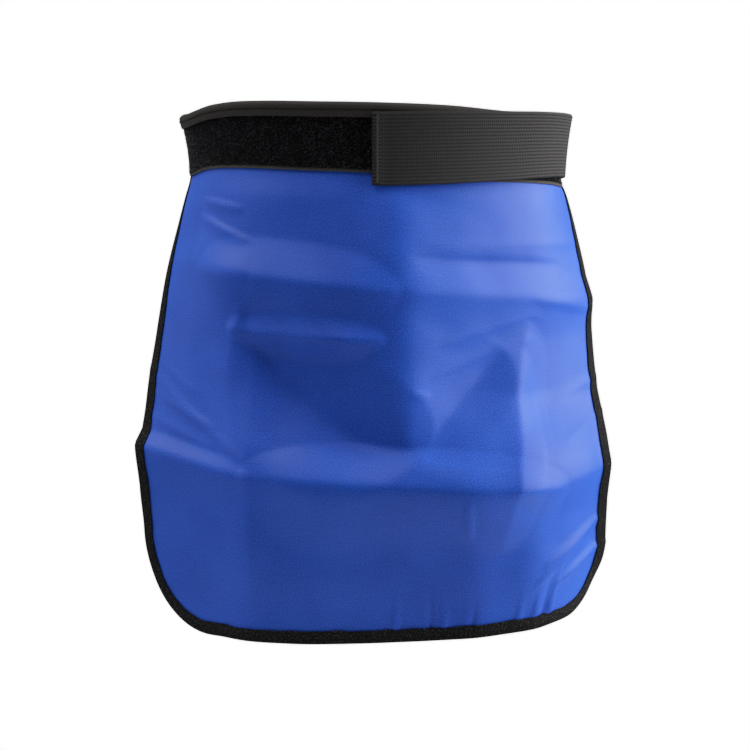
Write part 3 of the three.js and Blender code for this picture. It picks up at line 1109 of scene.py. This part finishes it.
def top_seam(name, outwards):
    """The zigzag seam along the top tape."""
    clear_end = 1
    end = HALF_PANEL - clear_end
    along, down = zigzag(-end, end, pitch=2.3, half=0.85, middle=2.9)
    corners = np.stack([along, -down, np.full_like(along, outwards)], axis=1)
    return sewn(name, corners[:-1], corners[1:], thickness=0.8, surface=sheet)


def edge_seam(name, outwards):
    """The running seam that holds the edge tape, near its inner edge."""
    pitch = 3.4
    stitch = 0.82 * pitch
    clear_end = 12
    inset = 5.6
    wander = 0.35
    starts_along = np.arange(clear_end, EDGE_LENGTH - clear_end, pitch)
    starts, ends = [
        inside_edge(along, inset + wander * uneven(along), np.full_like(along, outwards))
        for along in (starts_along, starts_along + stitch)
    ]
    return sewn(name, starts, ends, thickness=0.42, surface=sheet)


def selvage_seam():
    """The running seam along the loop tape's lower edge."""
    pitch = 3.0
    stitch = 0.8 * pitch
    clear_end = 3
    inset = 1.3
    end = LOOP_HALF - clear_end
    along = np.arange(-end, end, pitch)
    up = np.full_like(along, inset - TAPE_WIDTH)
    out = np.full_like(along, LOOP_GROUND_FACE + THREAD_PROUD)
    starts = np.stack([along, up, out], axis=1)
    return sewn("selvage_seam", starts, starts + (stitch, 0, 0), thickness=0.36, surface=sheet)


def strap_end_seam():
    """The zigzag that closes the hem at the strap's free end, by share of the strap's width."""
    inset = 3.4
    proud = 0.02
    share, along = zigzag(0.03, 0.97, pitch=0.045, half=1.1, middle=STRAP_FREE_END + inset)
    corners = np.stack([along, -strap_down(along, share), strap_face(along) + proud], axis=1)
    return sewn("strap_end_seam", corners[:-1], corners[1:], thickness=0.7, surface=band)


def strap_selvage():
    """The weft's small turns along both edges of the strap."""
    pitch = 2.0
    turn = 1.1
    clear_end = 1
    layer_share = 0.55
    along = np.arange(STRAP_FREE_END + clear_end, STRAP_SEWN_END - clear_end, pitch)
    out = strap_layer(along) + STRAP_THICKNESS * layer_share
    lower, upper = [np.stack([along, -strap_down(along, share), out], axis=1) for share in (0.0, 1.0)]
    starts = np.concatenate([lower, upper])
    return sewn("strap_selvage", starts, starts + (turn, 0, 0), thickness=0.8, surface=band)


def strap_box_seam():
    """The crossed box that sews the strap inside the panel's -X end, on the strap's inner face."""
    pitch = 3.0
    stitch_share = 0.8
    left_inset = 8
    right_inset = 4
    left = STRAP_SEWN_END - STRAP_SEWN_OVERLAP + left_inset
    right = STRAP_SEWN_END - right_inset
    low = -42.0
    high = -14.0
    corners = np.array([(left, low), (right, low), (right, high), (left, high)])
    lines = ((0, 1), (1, 2), (2, 3), (3, 0), (0, 2), (1, 3))
    starts = []
    ends = []
    for first, last in lines:
        a = corners[first]
        b = corners[last]
        count = int(np.linalg.norm(b - a) / pitch)
        for n in range(count):
            starts.append(lerp(a, b, n / count))
            ends.append(lerp(a, b, (n + stitch_share) / count))
    starts = np.array(starts)
    out = strap_layer(starts[:, 0]) - THREAD_PROUD
    starts = np.column_stack([starts, out])
    ends = np.column_stack([ends, out])
    return sewn("strap_box_seam", starts, ends, thickness=0.5, surface=band)


black_tape = binding_tape(
    "edge_tape", (0.0035, 0.0035, 0.0035), (0.066, 0.065, 0.068), herringbone=0.0022, least=0.08
)
brown_tape = binding_tape(
    "top_tape", (0.014, 0.0128, 0.012), (0.062, 0.057, 0.055), herringbone=0.0016, least=0.6
)
black_thread = sewing_thread("black_thread", (0.0012, 0.0012, 0.0012), (0.006, 0.006, 0.006))
grey_thread = sewing_thread("grey_thread", (0.015, 0.015, 0.015), (0.09, 0.087, 0.085))
selvage_thread = sewing_thread("selvage_thread", (0.004, 0.004, 0.004), (0.036, 0.034, 0.033))

cloth = finish_piece(panel_cloth(), blue_nylon(), "blue_nylon", "front_panel")
edge = finish_piece(edge_tape(), black_tape, "binding_tape", "edge_binding")
top = finish_piece(top_tape(), brown_tape, "binding_tape", "top_binding")
ground = finish_piece(loop_ground(), loop_base(), "loop_pile", "loop_tape")
fuzz = finish_piece(pile(), loop_pile(), "loop_pile")
finish_piece(strap_web(), webbing(), "webbing", "waist_strap")
finish_piece(strap_selvage(), selvage_thread, "webbing")
finish_piece(hook_strip(), hook_tape(), "hook_pile", "hook_patch")

TOP_SEAM_FRONT = TOP_FLAP_MIDDLE + TAPE_THICKNESS / 2
TOP_SEAM_BACK = TOP_BACK_FLAP_MIDDLE - TAPE_THICKNESS / 2
EDGE_SEAM_OUT = 2.3
seams = [
    finish_piece(top_seam("top_seam_front", TOP_SEAM_FRONT), black_thread, "binding_tape"),
    finish_piece(top_seam("top_seam_back", TOP_SEAM_BACK), black_thread, "binding_tape"),
    finish_piece(edge_seam("edge_seam_front", EDGE_SEAM_OUT), black_thread, "binding_tape"),
    finish_piece(edge_seam("edge_seam_back", -EDGE_SEAM_OUT), black_thread, "binding_tape"),
    finish_piece(selvage_seam(), black_thread, "loop_pile"),
]
finish_piece(strap_end_seam(), grey_thread, "webbing")
finish_piece(strap_box_seam(), grey_thread, "webbing")

# The photograph's view: the camera stands in front, a little below the band, and looks slightly down.
CAMERA_PLACE = (0, -1.1073, -0.0605)
CAMERA_PITCH = math.radians(5.5)
CAMERA_LENS = 72
CAMERA_SENSOR = 36
camera_data = bpy.data.cameras.new("camera")
camera_data.lens = CAMERA_LENS
camera_data.sensor_width = CAMERA_SENSOR
camera = bpy.data.objects.new("camera", camera_data)
camera.location = CAMERA_PLACE
camera.rotation_euler = (math.pi / 2 - CAMERA_PITCH, 0, 0)
bpy.context.scene.collection.objects.link(camera)
bpy.context.scene.camera = camera

# Studio lights, all aimed near the middle of the panel
LIGHT_AIM = (0, -0.08, -0.15)
LIGHT_SIZE = 1.2
LIGHTS = (
    # name, place, watts, colour
    ("side", (1.47, -0.21, 0.11), 38, (1.0, 0.98, 0.96)),
    ("upper_right", (1.21, 0.13, 0.71), 34, (1.0, 0.99, 0.98)),
    ("upper_left", (-0.75, -0.08, 1.15), 33, (1.0, 0.99, 0.98)),
    ("left", (-1.49, 0.05, -0.02), 5, (0.96, 0.98, 1.0)),
)
for name, place, watts, color in LIGHTS:
    bpy.ops.object.light_add(type="AREA", location=place)
    lamp = bpy.context.object
    lamp.name = name
    lamp.data.size = LIGHT_SIZE
    lamp.data.energy = watts
    lamp.data.color = color
    towards = [a - p for a, p in zip(LIGHT_AIM, place)]
    lamp.rotation_euler = (
        math.atan2(math.hypot(towards[0], towards[1]), -towards[2]),
        0,
        math.atan2(-towards[0], towards[1]),
    )

# The camera's response: bright colours are held back, as on film.
WHITE_LEVEL = 1.55
ALL_COLOURS = 3
RESPONSE = (
    # light, picture
    (0.2, 0.19),
    (0.43, 0.385),
    (0.66, 0.535),
    (1.02, 0.745),
    (1.4, 0.88),
)
view = bpy.context.scene.view_settings
view.view_transform = "Standard"
view.use_curve_mapping = True
view.curve_mapping.white_level = (WHITE_LEVEL,) * 3
for light, picture in RESPONSE:
    view.curve_mapping.curves[ALL_COLOURS].points.new(light / WHITE_LEVEL, picture)
view.curve_mapping.update()

# A white backdrop that lights the part softly from all round
AMBIENT = 0.175
world = bpy.data.worlds.new("studio")
bpy.context.scene.world = world
world.use_nodes = True
backdrop = world.node_tree.nodes["Background"]
backdrop.inputs["Color"].default_value = (1, 1, 1, 1)
seen = world.node_tree.nodes.new("ShaderNodeLightPath")
strength = world.node_tree.nodes.new("ShaderNodeMapRange")
strength.inputs["To Min"].default_value = AMBIENT
strength.inputs["To Max"].default_value = WHITE_LEVEL
world.node_tree.links.new(seen.outputs["Is Camera Ray"], strength.inputs["Value"])
world.node_tree.links.new(strength.outputs["Result"], backdrop.inputs["Strength"])

# A pale round floor well below the hem
FLOOR_HEIGHT = -0.75
FLOOR_RADIUS = 0.8
FLOOR_DEPTH = 0.02
bpy.ops.object.select_all(action="DESELECT")
bpy.ops.mesh.primitive_cylinder_add(
    vertices=96, radius=FLOOR_RADIUS, depth=FLOOR_DEPTH, location=(0, 0, FLOOR_HEIGHT - FLOOR_DEPTH / 2)
)
floor = bpy.context.object
floor.name = "floor"
bpy.ops.object.transform_apply(location=True, rotation=False, scale=False)
paint = Finish("pale_floor", color=(0.6, 0.6, 0.595), roughness=0.7)
speckle = paint.noise(paint.object_place(), grain=0.02, detail=3)
paint.color(paint.tint(speckle, dark=(0.8, 0.8, 0.79), light=(0.84, 0.84, 0.83)))
floor.data.materials.append(paint.material)
